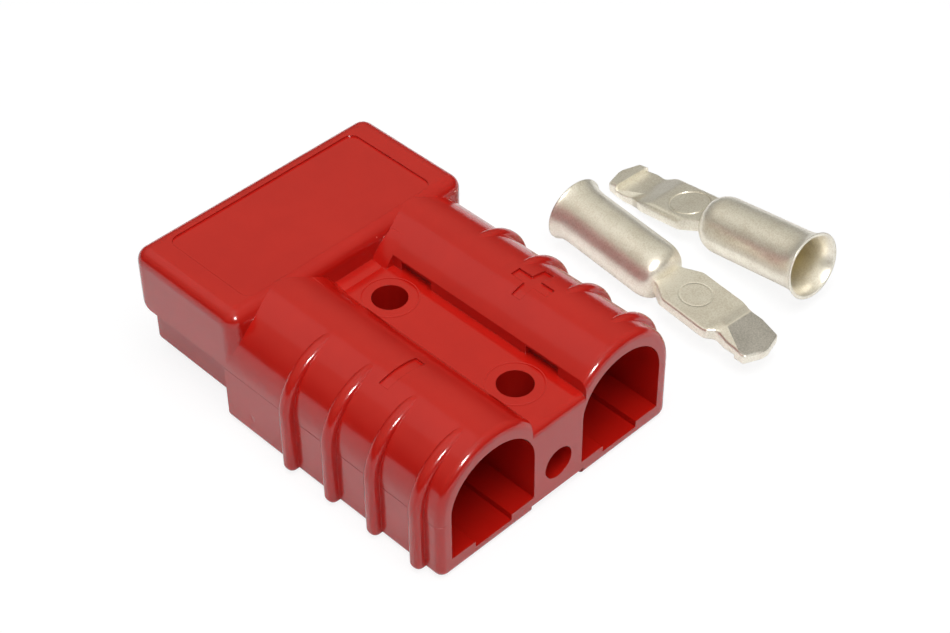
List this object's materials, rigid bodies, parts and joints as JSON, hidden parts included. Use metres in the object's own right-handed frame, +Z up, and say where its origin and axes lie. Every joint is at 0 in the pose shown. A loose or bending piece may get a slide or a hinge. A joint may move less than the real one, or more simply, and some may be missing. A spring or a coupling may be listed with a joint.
{
  "type": "genderless power connector",
  "caption": "Genderless two-pole power connector: ribbed moulded housing with leaf springs and a mating hood, with two crimp contacts lying beside it.",
  "frame": {"origin": "on the mating plane, at half the housing's height, midway between the two mounting holes", "axes": "+Y along the mating direction, towards the hood; +Z up, along the mounting holes; the housing is symmetric about X = 0"},
  "size_m": [0.0646, 0.051, 0.0156],
  "materials": {
    "red_polycarbonate": "glossy moulded red plastic",
    "silver_plated_copper": "satin silver plating",
    "spring_steel": "stainless leaf spring"
  },
  "bodies": {
    "root": {"housing": "red_polycarbonate", "contact_spring_left": "spring_steel", "contact_spring_right": "spring_steel", "power_contact_left": "silver_plated_copper", "power_contact_right": "silver_plated_copper"}
  },
  "joints": []
}
